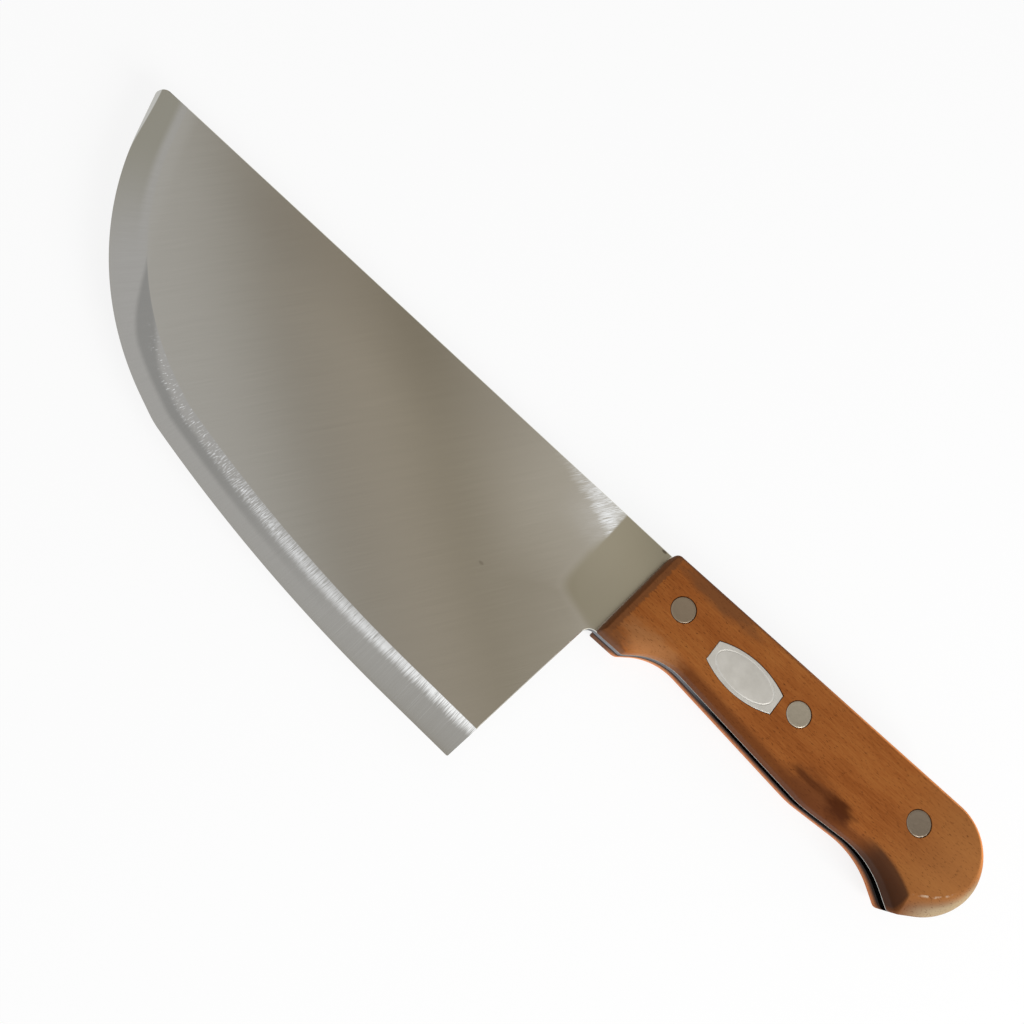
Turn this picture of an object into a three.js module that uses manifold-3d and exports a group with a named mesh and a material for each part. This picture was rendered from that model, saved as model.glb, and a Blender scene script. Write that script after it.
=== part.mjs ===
// Broad-bladed kitchen cleaver: one steel blade with a full tang, two wooden handle scales,
// three two-part rivets and a thin plate let into the front scale.
// Millimetres. +X runs from the tip to the butt, +Y from the cutting edge to the spine,
// +Z out of the front face. The origin lies under the middle of the bounding box.

import * as THREE from 'three';
import { mergeVertices } from 'three/addons/utils/BufferGeometryUtils.js';
import Module from 'manifold-3d';

const wasm = await Module();
wasm.setup();

// Outline of the blade, seen from the front
const BLADE_LENGTH = 201.3; // tip to the front of the scales, along the spine
const BLADE_DEPTH = 83.2; // spine to the cutting edge at the heel
const TIP_RADIUS = 2.5;
const TIP_ANGLE = 64.9; // degrees between the spine and the nose of the belly
const NOSE_LENGTH = 61; // corner of the tip to the corner of the belly curve
const BELLY_RADIUS = 105;
const KNEE_REACH = 73; // tip to the knee where the belly joins the long edge
const KNEE_RISE = 10.5; // knee above the level of the heel
const KNEE_RADIUS = 30;
const EDGE_REACH = 122.8; // tip to the middle of the long edge's slow curve
const EDGE_RISE = 1;
const EDGE_RADIUS = 530;
const HEEL_SETBACK = 9.6; // heel in front of the scales
const HEEL_RADIUS = 0.4;
const CHOIL_SETBACK = 4.7; // inner corner behind the heel, in front of the scales
const CHOIL_RADIUS = 3;

// Thickness and grinding of the steel
const STEEL = 3; // ricasso and tang
const SPINE_GROUND = 2.8; // ground spine at the front of the scales
const TIP_GROUND = 1.4; // ground spine at the tip
const SHOULDER_LOSS = 0.6; // how much the flat grind thins from spine to bevel
const BEVEL_WIDTH = 10.3;
const BEVEL_HOLLOW = 1.3; // power of the hollow bevel's curve, 1 is flat
const EDGE_LAND = 0.3; // thickness left along the cutting edge
const RICASSO_LENGTH = 17.3; // plunge line in front of the scales
const RICASSO_DEPTH = 27.6; // spine to the corner of the plunge line
const RICASSO_SLOPE = 14; // degrees by which the plunge line's foot drops towards the handle
const PLUNGE_RADIUS = 6;
const WHEEL_RADIUS = 200; // grinding wheel that leaves the hollow beside the plunge line
const PLUNGE_DROP = 0.3; // depth that the wheel's hollow is drawn to

// Outline of the handle, measured back from the front of the scales
const HANDLE_LENGTH = 125.9; // front to the corner where the top and butt lines meet
const FRONT_LEAN = 2; // foot of the front end ahead of its top
const FRONT_DEPTH = 31.5; // spine to the foot of the front end
const FRONT_TOP_RADIUS = 2;
const FRONT_FOOT_RADIUS = 0.6;
const BUTT_RISE = 2.5; // upper butt corner above the spine
const BUTT_RADIUS = 16.7;
const HEEL_OF_BUTT = 8.3; // lower butt corner ahead of the upper one
const BUTT_DEPTH = 25.7;
const BUTT_LOW_RADIUS = 22;
const BEAK_SETBACK = 19.2;
const BEAK_DEPTH = 33;
const BEAK_RADIUS = 1.5;
const WAIST_SETBACK = 31.6;
const WAIST_DEPTH = 25.5;
const WAIST_RADIUS = 26;
const PALM_SETBACK = 55.5;
const PALM_DEPTH = 27.9;
const PALM_RADIUS = 30;
const NOTCH_REACH = 16.1; // hollow for the first finger
const NOTCH_DEPTH = 23.8;
const NOTCH_RADIUS = 19.3;
const BUMP_REACH = 7.3;
const BUMP_DEPTH = 31.3;
const BUMP_RADIUS = 1.9;
const SCALE = 7.4; // thickness of each scale
const FRONT_EASE = 0.8; // width of the rounded outer edge of the scales, side by side
const FOOT_EASE = 1.2;
const UNDER_EASE = 4.8;
const HEEL_EASE = 6.1; // from the beak to the lower butt corner
const BUTT_EASE = 4.3;
const TOP_EASE = 2;
const ROUND_DROP = 3.4; // depth of the rounded edge

// Two-part rivets
const RIVET_FIRST = 11.2; // behind the front of the scales
const RIVET_MIDDLE = 53.2;
const RIVET_LAST_SETBACK = 29.3; // ahead of the upper butt corner
const RIVET_FIRST_DEPTH = 11.9; // below the spine
const RIVET_MIDDLE_DEPTH = 11.3;
const RIVET_LAST_DEPTH = 10.7;
const RIVET_HEAD = 7.3; // diameters
const RIVET_TUBE = 5;
const RIVET_BORE = 3.4;
const RIVET_PIN = 3;
const RIVET_HEAD_DEPTH = 2;
const RIVET_TUBE_END = 3; // tube stops this far short of the other half's head
const RIVET_PIN_END = 1.5; // pin stops this far short of the bottom of the bore
const RIVET_CHAMFER = 0.25;

// Plate let into the front scale
const BADGE_LENGTH = 22.7;
const BADGE_END = 6.3; // width across the straight ends
const BADGE_BOW = 2.6; // how far each long side swells out
const BADGE_THICKNESS = 0.8;
const BADGE_REACH = 35.6; // behind the front of the scales
const BADGE_DEPTH = 14.1; // below the spine
const BADGE_TURN = 2; // degrees

// Fits
const FIT = 0.15; // clearance round the rivets and the plate
const FLUSH = 0.08; // rivet heads and plate lie this far below the wood
const CUT_PAST = 1; // how far a cut runs past the face it opens
const LEAST_RADIUS = 0.25; // rounding left on a corner that is moved in past its own radius
const SAG = 0.03; // chord error of curved outlines
const ROUND_STEPS = 5;
const BEVEL_STEPS = 5;
const PLUNGE_STEPS = 6;
const TURNED_SIDES = 32;

const HALF_STEEL = STEEL / 2;
const FACE = HALF_STEEL + SCALE; // outer face of a scale, from the middle of the steel

const radians = THREE.MathUtils.degToRad;

// Corner of an outline with its rounding radius, and the width of the rounded edge along the
// side that starts there.
function corner(x, y, radius = 0, ease = 0) {
  return { x, y, radius, ease };
}

// Straight side between two corners, moved to its left by inset.
function side(from, to, inset) {
  const length = Math.hypot(to.x - from.x, to.y - from.y);
  const along = new THREE.Vector2((to.x - from.x) / length, (to.y - from.y) / length);
  const left = new THREE.Vector2(-along.y, along.x);
  const start = new THREE.Vector2(from.x, from.y).addScaledVector(left, inset);
  return { start, along, left };
}

// Where two sides meet, and how far the path turns there.
function meeting(before, after) {
  const turn = Math.atan2(before.along.cross(after.along), before.along.dot(after.along));
  const gap = after.start.clone().sub(before.start);
  const reach = gap.cross(after.along) / before.along.cross(after.along);
  return { vertex: before.start.clone().addScaledVector(before.along, reach), turn };
}

// Arc at every corner of a counter-clockwise outline that is moved inwards by inset, and by a
// share of each side's own rounded width. Each arc is a list of points with the inward normals.
function cornerArcs(corners, inset = 0, share = 0) {
  const count = corners.length;
  const insets = corners.map(({ ease }) => inset + share * ease);
  const sides = corners.map((from, i) => side(from, corners[(i + 1) % count], insets[i]));
  const joints = corners.map((from, i) => meeting(sides[(i + count - 1) % count], sides[i]));
  const wanted = joints.map(({ turn }, i) => {
    const moved = (insets[(i + count - 1) % count] + insets[i]) / 2;
    const radius = corners[i].radius - Math.sign(turn) * moved;
    const least = Math.min(corners[i].radius, LEAST_RADIUS);
    return Math.max(radius, least) * Math.tan(Math.abs(turn) / 2);
  });
  return joints.map(({ vertex, turn }, i) => {
    const before = sides[(i + count - 1) % count];
    const room = [i + count - 1, i + 1].map((n) => {
      const other = n % count;
      const length = vertex.distanceTo(joints[other].vertex);
      return (length * wanted[i]) / Math.max(wanted[i] + wanted[other], length);
    });
    const tangent = Math.min(...room);
    const radius = tangent / Math.tan(turn / 2);
    const start = vertex.clone().addScaledVector(before.along, -tangent);
    const centre = start.clone().addScaledVector(before.left, radius);
    const steps = corners[i].radius
      ? Math.ceil(Math.abs(turn) / (2 * Math.acos(1 - SAG / (corners[i].radius + SAG))))
      : 0;
    const heading = before.along.angle();
    return Array.from({ length: steps + 1 }, (_, k) => {
      const angle = heading + (steps ? (turn * k) / steps : turn / 2);
      const normal = new THREE.Vector2(-Math.sin(angle), Math.cos(angle));
      const point = steps ? centre.clone().addScaledVector(normal, -radius) : vertex;
      return { point, normal };
    });
  });
}

function outline(corners, inset = 0, share = 0) {
  return cornerArcs(corners, inset, share).flat().map(({ point }) => point);
}

// Closed surface through rings of equal count, from the lowest to the highest.
function loft(rings) {
  const count = rings[0].points.length;
  const positions = rings.flatMap(({ points, z }) => points.flatMap((p) => [p.x, p.y, z]));
  const index = [];
  for (let ring = 0; ring < rings.length - 1; ring += 1) {
    for (let i = 0; i < count; i += 1) {
      const a = ring * count + i;
      const b = ring * count + ((i + 1) % count);
      index.push(a, b, b + count, a, b + count, a + count);
    }
  }
  const top = (rings.length - 1) * count;
  for (const [a, b, c] of THREE.ShapeUtils.triangulateShape(rings[0].points, [])) {
    index.push(a, c, b);
  }
  for (const [a, b, c] of THREE.ShapeUtils.triangulateShape(rings.at(-1).points, [])) {
    index.push(top + a, top + b, top + c);
  }
  return indexed(positions, index);
}

function indexed(positions, index) {
  const geometry = new THREE.BufferGeometry();
  geometry.setAttribute('position', new THREE.Float32BufferAttribute(positions, 3));
  geometry.setIndex(index);
  return geometry;
}

function slab(points, low, high) {
  return loft([{ points, z: low }, { points, z: high }]);
}

// Turned piece about the Z axis from [radius, height] pairs, from its top down.
function turned(profile) {
  const points = profile.map(([radius, height]) => new THREE.Vector2(radius, height));
  return new THREE.LatheGeometry(points.reverse(), TURNED_SIDES).rotateX(Math.PI / 2);
}

function rod(diameter, low, high) {
  const radius = diameter / 2;
  return turned([[0, high], [radius, high], [radius, low], [0, low]]);
}

function solid(geometry) {
  const bare = geometry.clone();
  bare.deleteAttribute('normal');
  bare.deleteAttribute('uv');
  const merged = mergeVertices(bare, 1e-4);
  return new wasm.Manifold(new wasm.Mesh({
    numProp: 3,
    vertProperties: new Float32Array(merged.attributes.position.array),
    triVerts: new Uint32Array(merged.index.array),
  }));
}

function surface(manifold) {
  const { vertProperties, triVerts } = manifold.getMesh();
  return indexed(Array.from(vertProperties), Array.from(triVerts));
}

const frontX = BLADE_LENGTH;
const backX = frontX + HANDLE_LENGTH;

// Corners of the handle that the tang and both scales share, from the finger bump to the butt.
const gripCorners = [
  corner(frontX + BUMP_REACH, -BUMP_DEPTH, BUMP_RADIUS, UNDER_EASE),
  corner(frontX + NOTCH_REACH, -NOTCH_DEPTH, NOTCH_RADIUS, UNDER_EASE),
  corner(backX - PALM_SETBACK, -PALM_DEPTH, PALM_RADIUS, UNDER_EASE),
  corner(backX - WAIST_SETBACK, -WAIST_DEPTH, WAIST_RADIUS, UNDER_EASE),
  corner(backX - BEAK_SETBACK, -BEAK_DEPTH, BEAK_RADIUS, HEEL_EASE),
  corner(backX - HEEL_OF_BUTT, -BUTT_DEPTH, BUTT_LOW_RADIUS, BUTT_EASE),
  corner(backX, BUTT_RISE, BUTT_RADIUS, TOP_EASE),
];

const scaleCorners = [
  corner(frontX, 0, FRONT_TOP_RADIUS, FRONT_EASE),
  corner(frontX - FRONT_LEAN, -FRONT_DEPTH, FRONT_FOOT_RADIUS, FOOT_EASE),
  ...gripCorners,
];

const tipX = TIP_RADIUS * (1 - 1 / Math.tan(radians(TIP_ANGLE) / 2));

// Cutting edge from the tip to the heel.
const edgeCorners = [
  corner(tipX, 0, TIP_RADIUS),
  corner(
    tipX + NOSE_LENGTH * Math.cos(radians(TIP_ANGLE)),
    -NOSE_LENGTH * Math.sin(radians(TIP_ANGLE)),
    BELLY_RADIUS,
  ),
  corner(KNEE_REACH, KNEE_RISE - BLADE_DEPTH, KNEE_RADIUS),
  corner(EDGE_REACH, EDGE_RISE - BLADE_DEPTH, EDGE_RADIUS),
  corner(frontX - HEEL_SETBACK, -BLADE_DEPTH, HEEL_RADIUS),
];

// Stamped blank: blade and tang in one piece, the tang's top rising slowly to the butt.
const blankCorners = [
  ...edgeCorners,
  corner(frontX - CHOIL_SETBACK, -FRONT_DEPTH, CHOIL_RADIUS),
  ...gripCorners,
  corner(frontX, 0),
];

const rivetPlaces = [
  [frontX + RIVET_FIRST, -RIVET_FIRST_DEPTH],
  [frontX + RIVET_MIDDLE, -RIVET_MIDDLE_DEPTH],
  [backX - RIVET_LAST_SETBACK, -RIVET_LAST_DEPTH],
];

// Half thickness of the flat grind, which thins towards the tip and towards the edge.
function groundHalf(x, y) {
  const spine = TIP_GROUND + ((SPINE_GROUND - TIP_GROUND) * x) / BLADE_LENGTH;
  return (spine + (SHOULDER_LOSS * y) / (BLADE_DEPTH - BEVEL_WIDTH)) / 2;
}

// Flat grind and hollow bevel: sections square to the cutting edge, from beyond the heel
// to beyond the tip, each running from outside the edge up past the spine.
function groundBlade() {
  const beyond = BEVEL_WIDTH;
  const arcs = cornerArcs(blankCorners);
  const path = [arcs[3], arcs[2], arcs[1]].flatMap((arc) => arc.toReversed());
  const [first, last] = [path[0], path.at(-1)];
  const extend = ({ point, normal }, run) => ({
    point: point.clone().add(new THREE.Vector2(normal.y, -normal.x).multiplyScalar(run)),
    normal,
  });
  path.unshift(extend(first, frontX - first.point.x));
  path.push(extend(last, -last.point.distanceTo(new THREE.Vector2(tipX, 0))));
  const shoulders = path.map(({ point, normal }) => point.clone().addScaledVector(normal, BEVEL_WIDTH));
  const spans = shoulders.map((point, i) => (i ? point.distanceTo(shoulders[i - 1]) : 0));
  const total = spans.reduce((sum, span) => sum + span);
  let run = 0;
  const stations = path.map(({ point, normal }, i) => {
    run += spans[i];
    const shoulder = shoulders[i];
    const rootHalf = groundHalf(shoulder.x, shoulder.y);
    const lip = point.clone().addScaledVector(normal, -CUT_PAST);
    const rows = [{ x: lip.x, y: lip.y, half: EDGE_LAND / 2 }];
    for (let k = 0; k <= BEVEL_STEPS; k += 1) {
      const share = k / BEVEL_STEPS;
      const at = point.clone().addScaledVector(normal, BEVEL_WIDTH * share);
      const half = THREE.MathUtils.lerp(EDGE_LAND / 2, rootHalf, share ** BEVEL_HOLLOW);
      rows.push({ x: at.x, y: at.y, half });
    }
    const topX = THREE.MathUtils.lerp(shoulders[0].x, shoulders.at(-1).x, run / total);
    rows.push({ x: topX, y: beyond, half: groundHalf(topX, beyond) });
    return rows;
  });
  return cushion(stations);
}

// Closed body between two mirrored height fields on the same grid of stations and rows.
function cushion(stations) {
  const rows = stations[0].length;
  const count = stations.length * rows;
  const points = stations.flat();
  const positions = [1, -1].flatMap((face) => points.flatMap(({ x, y, half }) => [x, y, face * half]));
  const index = [];
  const quad = (a, b, c, d) => index.push(a, b, c, a, c, d);
  for (let i = 0; i < stations.length - 1; i += 1) {
    for (let j = 0; j < rows - 1; j += 1) {
      const a = i * rows + j;
      quad(a, a + 1, a + rows + 1, a + rows);
      quad(count + a, count + a + rows, count + a + rows + 1, count + a + 1);
    }
    const [low, high] = [i * rows, i * rows + rows - 1];
    quad(low, low + rows, count + low + rows, count + low);
    quad(high, count + high, count + high + rows, high + rows);
  }
  for (let j = 0; j < rows - 1; j += 1) {
    const end = (stations.length - 1) * rows + j;
    quad(j, count + j, count + j + 1, j + 1);
    quad(end, end + 1, count + end + 1, count + end);
  }
  return indexed(positions, index);
}

// Ricasso and tang at full thickness, with the wheel's hollow running out from the plunge line.
function ricassoBlock() {
  const far = backX + HANDLE_LENGTH;
  const top = BEVEL_WIDTH;
  const left = frontX - RICASSO_LENGTH;
  const drop = Math.tan(radians(RICASSO_SLOPE)) * (far - left);
  const corners = [
    corner(left, top),
    corner(left, -RICASSO_DEPTH, PLUNGE_RADIUS),
    corner(far, -RICASSO_DEPTH - drop),
    corner(far, top),
  ];
  const run = Math.sqrt(2 * WHEEL_RADIUS * PLUNGE_DROP - PLUNGE_DROP ** 2);
  const rings = Array.from({ length: PLUNGE_STEPS + 1 }, (_, k) => {
    const out = (run * k) / PLUNGE_STEPS;
    const rise = WHEEL_RADIUS - Math.sqrt(WHEEL_RADIUS ** 2 - (run - out) ** 2);
    return { points: outline(corners, -out), z: HALF_STEEL - PLUNGE_DROP + rise };
  });
  const underside = rings.map(({ points, z }) => ({ points, z: -z }));
  return loft([...underside, ...rings.toReversed()]);
}

function bladeGeometry() {
  let body = solid(groundBlade()).add(solid(ricassoBlock()));
  body = body.intersect(solid(slab(outline(blankCorners), -STEEL, STEEL)));
  for (const [x, y] of rivetPlaces) {
    body = body.subtract(solid(rod(RIVET_TUBE + 2 * FIT, -STEEL, STEEL).translate(x, y, 0)));
  }
  return surface(body);
}

// Wooden slab with its outer edge rounded to an elliptic section, inner face on z = 0.
function plainScale() {
  const rings = [{ points: outline(scaleCorners), z: 0 }];
  for (let k = 0; k <= ROUND_STEPS; k += 1) {
    const angle = (Math.PI / 2) * (k / ROUND_STEPS);
    rings.push({
      points: outline(scaleCorners, 0, 1 - Math.cos(angle)),
      z: SCALE - ROUND_DROP * (1 - Math.sin(angle)),
    });
  }
  let body = solid(loft(rings));
  const seat = SCALE - FLUSH - RIVET_HEAD_DEPTH;
  for (const [x, y] of rivetPlaces) {
    const shankHole = rod(RIVET_TUBE + 2 * FIT, -CUT_PAST, SCALE + CUT_PAST);
    const headHole = rod(RIVET_HEAD + 2 * FIT, seat, SCALE + CUT_PAST);
    body = body.subtract(solid(shankHole.translate(x, y, 0)));
    body = body.subtract(solid(headHole.translate(x, y, 0)));
  }
  return body;
}

// Barrel outline: straight short ends and two bowed long sides, grown outwards by extra.
function badgeOutline(extra) {
  const [half, end] = [BADGE_LENGTH / 2, BADGE_END / 2];
  const radius = (half ** 2 + BADGE_BOW ** 2) / (2 * BADGE_BOW);
  const reach = Math.asin(half / radius);
  const centre = end + BADGE_BOW - radius;
  const bow = (turn) => {
    const curve = new THREE.EllipseCurve(0, centre, radius, radius, Math.PI / 2 - reach, Math.PI / 2 + reach);
    const steps = Math.ceil(reach / Math.acos(1 - SAG / radius));
    return curve.getPoints(steps).map((point) => point.rotateAround(new THREE.Vector2(), turn));
  };
  const points = [...bow(0), ...bow(Math.PI)];
  return points.map(({ x, y }) => new THREE.Vector2(
    x + Math.sign(x) * extra * (Math.abs(x) / half),
    y + Math.sign(y) * extra,
  ));
}

function frontScaleGeometry() {
  const recess = slab(badgeOutline(FIT), SCALE - FLUSH - BADGE_THICKNESS, SCALE + CUT_PAST);
  recess.rotateZ(radians(BADGE_TURN)).translate(frontX + BADGE_REACH, -BADGE_DEPTH, 0);
  return surface(plainScale().subtract(solid(recess)));
}

// Mirror image of a body across the middle of the steel.
function mirrored(geometry) {
  const copy = geometry.clone().scale(1, 1, -1);
  const index = copy.index.array;
  for (let i = 0; i < index.length; i += 3) {
    [index[i + 1], index[i + 2]] = [index[i + 2], index[i + 1]];
  }
  return copy;
}

const headTop = FACE - FLUSH;
const headSeat = headTop - RIVET_HEAD_DEPTH;

// Rivet head and shank profile, from the middle of the head's outer face down to the shank's end.
function headProfile(shank, end) {
  const head = RIVET_HEAD / 2;
  return [
    [0, headTop],
    [head - RIVET_CHAMFER, headTop],
    [head, headTop - RIVET_CHAMFER],
    [head, headSeat],
    [shank / 2, headSeat],
    [shank / 2, end],
  ];
}

function tubeRivetGeometry() {
  const end = RIVET_TUBE_END - headSeat;
  const bore = RIVET_BORE / 2;
  return turned([...headProfile(RIVET_TUBE, end), [bore, end], [bore, headSeat], [0, headSeat]]);
}

function pinRivetGeometry() {
  const end = RIVET_PIN_END - headSeat;
  return turned([...headProfile(RIVET_PIN, end), [0, end]]).rotateX(Math.PI);
}

function badgeGeometry() {
  return slab(badgeOutline(0), headTop - BADGE_THICKNESS, headTop);
}

const steel = { color: 0x9a958b, roughness: 0.32, metalness: 1 };
const wood = { color: 0x91522a, roughness: 0.5, metalness: 0 };
const rivetSteel = { color: 0x8d8378, roughness: 0.4, metalness: 1 };
const plate = { color: 0xc9c9c6, roughness: 0.35, metalness: 1 };

function piece(name, geometry, look) {
  geometry.computeVertexNormals();
  const mesh = new THREE.Mesh(geometry, new THREE.MeshStandardMaterial(look));
  mesh.name = name;
  return mesh;
}

const knife = new THREE.Group();
knife.add(piece('blade', bladeGeometry(), steel));

const frontScale = piece('front_scale', frontScaleGeometry(), wood);
frontScale.position.z = HALF_STEEL;
const backScale = piece('back_scale', mirrored(surface(plainScale())), wood);
backScale.position.z = -HALF_STEEL;
knife.add(frontScale, backScale);

rivetPlaces.forEach(([x, y], i) => {
  const tube = piece(`rivet_front_${i + 1}`, tubeRivetGeometry(), rivetSteel);
  const pin = piece(`rivet_back_${i + 1}`, pinRivetGeometry(), rivetSteel);
  for (const half of [tube, pin]) {
    half.position.set(x, y, 0);
    knife.add(half);
  }
});

const badge = piece('badge', badgeGeometry(), plate);
badge.position.set(frontX + BADGE_REACH, -BADGE_DEPTH, 0);
badge.rotation.z = radians(BADGE_TURN);
knife.add(badge);

const box = new THREE.Box3().setFromObject(knife);
knife.position.set(-(box.min.x + box.max.x) / 2, -(box.min.y + box.max.y) / 2, -box.min.z);

const cleaver = new THREE.Group();
cleaver.add(knife);

export default cleaver;
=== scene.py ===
"""Looks of a broad kitchen cleaver: ground steel blade, oiled wooden scales, rivets and a plate."""

import math
from typing import NamedTuple

import bmesh
import bpy
import numpy as np
from mathutils import Matrix, Vector
from mathutils.geometry import delaunay_2d_cdt


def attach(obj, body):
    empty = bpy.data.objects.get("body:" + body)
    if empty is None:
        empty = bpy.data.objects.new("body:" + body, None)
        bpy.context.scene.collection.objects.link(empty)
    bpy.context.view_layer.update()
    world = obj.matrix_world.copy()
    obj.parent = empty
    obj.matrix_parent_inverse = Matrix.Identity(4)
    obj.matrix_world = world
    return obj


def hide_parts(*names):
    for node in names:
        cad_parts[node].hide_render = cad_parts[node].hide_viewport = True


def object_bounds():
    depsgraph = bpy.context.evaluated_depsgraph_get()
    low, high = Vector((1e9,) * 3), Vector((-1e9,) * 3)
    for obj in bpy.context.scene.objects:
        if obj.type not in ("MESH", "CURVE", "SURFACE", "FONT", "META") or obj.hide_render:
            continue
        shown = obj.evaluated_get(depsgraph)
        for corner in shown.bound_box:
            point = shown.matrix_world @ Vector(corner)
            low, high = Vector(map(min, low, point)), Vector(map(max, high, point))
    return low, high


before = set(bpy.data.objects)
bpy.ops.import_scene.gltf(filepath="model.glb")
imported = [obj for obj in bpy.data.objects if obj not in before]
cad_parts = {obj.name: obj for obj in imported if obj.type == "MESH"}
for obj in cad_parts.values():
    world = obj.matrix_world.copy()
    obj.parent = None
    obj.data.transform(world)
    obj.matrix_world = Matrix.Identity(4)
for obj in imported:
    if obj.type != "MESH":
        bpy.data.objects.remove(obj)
cad_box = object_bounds()

# Sizes of the object in millimetres, from the tip along the spine, from the spine line towards
# the edge, and from the middle of the steel
MM = 0.001

# Outline of the blade
BLADE_LENGTH = 201.3
BLADE_DEPTH = 83.2
TIP_RADIUS = 2.5
TIP_ANGLE = math.radians(64.9)
NOSE_LENGTH = 61
BELLY_RADIUS = 105
KNEE_REACH = 73
KNEE_RISE = 10.5
KNEE_RADIUS = 30
EDGE_REACH = 122.8
EDGE_RISE = 1
EDGE_RADIUS = 530
HEEL_SETBACK = 9.6
HEEL_RADIUS = 0.4
CHOIL_SETBACK = 4.7
CHOIL_RADIUS = 3

# Thickness of the steel, its flat grind, the bevel and the ricasso
STEEL = 3
SPINE_GROUND = 2.8
TIP_GROUND = 1.4
SHOULDER_LOSS = 0.6
BEVEL_WIDTH = 10.3
BEVEL_HOLLOW = 1.3
EDGE_LAND = 0.3
RICASSO_LENGTH = 17.3
RICASSO_DEPTH = 27.6
RICASSO_SLOPE = math.radians(14)
PLUNGE_RADIUS = 6
PLUNGE_RUN = 24
SPINE_EASE = 0.22

# Outline of the handle, and how far in its outer edges are rounded
HANDLE_LENGTH = 125.9
FRONT_LEAN = 2
FRONT_DEPTH = 31.5
FRONT_TOP_RADIUS = 2
FRONT_FOOT_RADIUS = 0.6
BUMP_REACH = 7.3
BUMP_DEPTH = 31.3
BUMP_RADIUS = 1.9
NOTCH_REACH = 16.1
NOTCH_DEPTH = 23.8
NOTCH_RADIUS = 19.3
PALM_SETBACK = 55.5
PALM_DEPTH = 27.9
PALM_RADIUS = 30
WAIST_SETBACK = 31.6
WAIST_DEPTH = 25.5
WAIST_RADIUS = 26
BEAK_SETBACK = 19.2
BEAK_DEPTH = 33
BEAK_RADIUS = 1.5
BUTT_SETBACK = 8.3
BUTT_DEPTH = 25.7
BUTT_LOW_RADIUS = 22
BUTT_RISE = 2.5
BUTT_TOP_RADIUS = 16.7
SCALE = 7.4
FRONT_EASE = 0.8
FOOT_EASE = 1.2
UNDER_EASE = 4.8
HEEL_EASE = 6.1
BUTT_EASE = 4.3
TOP_EASE = 2
ROUND_DROP = 3.4

# Rivets and plate, and the room round them and above them
RIVET_HEAD = 7.3
RIVET_SHANK = 5
RIVET_HEAD_DEPTH = 2
BADGE_LENGTH = 22.7
BADGE_END = 6.3
BADGE_BOW = 2.6
BADGE_THICKNESS = 0.8
BADGE_TURN = math.radians(2)
FIT = 0.15
FLUSH = 0.08
LEAST_RADIUS = 0.25

# Fineness of the meshes: how far an arc's chords may stray, the sides of a circle, the gap that
# is welded, and the least angle of a sharp edge
SAG = 0.004
ROUND_SIDES = 96
WELD = 0.001
SHARP_ANGLE = math.radians(40)

# Places worked out from the sizes
HALF_STEEL = STEEL / 2
FACE = HALF_STEEL + SCALE
FRONT_X = BLADE_LENGTH
BACK_X = FRONT_X + HANDLE_LENGTH
BEAK_X = BACK_X - BEAK_SETBACK
LOW = Vector(cad_box[0]) / MM
TO_FRAME = LOW + Vector((0, BLADE_DEPTH, FACE))
BADGE_PLACE = Vector((FRONT_X + 35.6, -14.1))
RIVET_PLACES = [
    Vector((FRONT_X + 11.2, -11.9)),
    Vector((FRONT_X + 53.2, -11.3)),
    Vector((BACK_X - 29.3, -10.7)),
]


class Corner(NamedTuple):
    """Corner of an outline: its rounding radius, how far in the outer edge is rounded along the
    side that starts there, and how crisply that rounding meets the flat face."""

    x: float
    y: float
    radius: float = 0.0
    ease: float = 0.0
    crisp: float = 0.0


GRIP = [
    Corner(FRONT_X + BUMP_REACH, -BUMP_DEPTH, BUMP_RADIUS, UNDER_EASE),
    Corner(FRONT_X + NOTCH_REACH, -NOTCH_DEPTH, NOTCH_RADIUS, UNDER_EASE),
    Corner(BACK_X - PALM_SETBACK, -PALM_DEPTH, PALM_RADIUS, UNDER_EASE),
    Corner(BACK_X - WAIST_SETBACK, -WAIST_DEPTH, WAIST_RADIUS, UNDER_EASE, crisp=1),
    Corner(BEAK_X, -BEAK_DEPTH, BEAK_RADIUS, HEEL_EASE, crisp=1),
    Corner(BACK_X - BUTT_SETBACK, -BUTT_DEPTH, BUTT_LOW_RADIUS, BUTT_EASE, crisp=0.9),
    Corner(BACK_X, BUTT_RISE, BUTT_TOP_RADIUS, TOP_EASE),
]
SCALE_CORNERS = [
    Corner(FRONT_X, 0, FRONT_TOP_RADIUS, FRONT_EASE),
    Corner(FRONT_X - FRONT_LEAN, -FRONT_DEPTH, FRONT_FOOT_RADIUS, FOOT_EASE),
    *GRIP,
]
TIP_X = TIP_RADIUS * (1 - 1 / math.tan(TIP_ANGLE / 2))
NOSE_X = TIP_X + NOSE_LENGTH * math.cos(TIP_ANGLE)
BLANK_CORNERS = [
    Corner(TIP_X, 0, TIP_RADIUS),
    Corner(NOSE_X, -NOSE_LENGTH * math.sin(TIP_ANGLE), BELLY_RADIUS),
    Corner(KNEE_REACH, KNEE_RISE - BLADE_DEPTH, KNEE_RADIUS),
    Corner(EDGE_REACH, EDGE_RISE - BLADE_DEPTH, EDGE_RADIUS),
    Corner(FRONT_X - HEEL_SETBACK, -BLADE_DEPTH, HEEL_RADIUS),
    Corner(FRONT_X - CHOIL_SETBACK, -FRONT_DEPTH, CHOIL_RADIUS),
    *GRIP,
    Corner(FRONT_X, 0),
]
PLUNGE_X = FRONT_X - RICASSO_LENGTH
RICASSO_CORNERS = [
    Corner(PLUNGE_X, BEVEL_WIDTH),
    Corner(PLUNGE_X, -RICASSO_DEPTH, PLUNGE_RADIUS),
    Corner(BACK_X, -RICASSO_DEPTH - math.tan(RICASSO_SLOPE) * (BACK_X - PLUNGE_X)),
    Corner(BACK_X, BEVEL_WIDTH),
]


# Outlines

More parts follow.
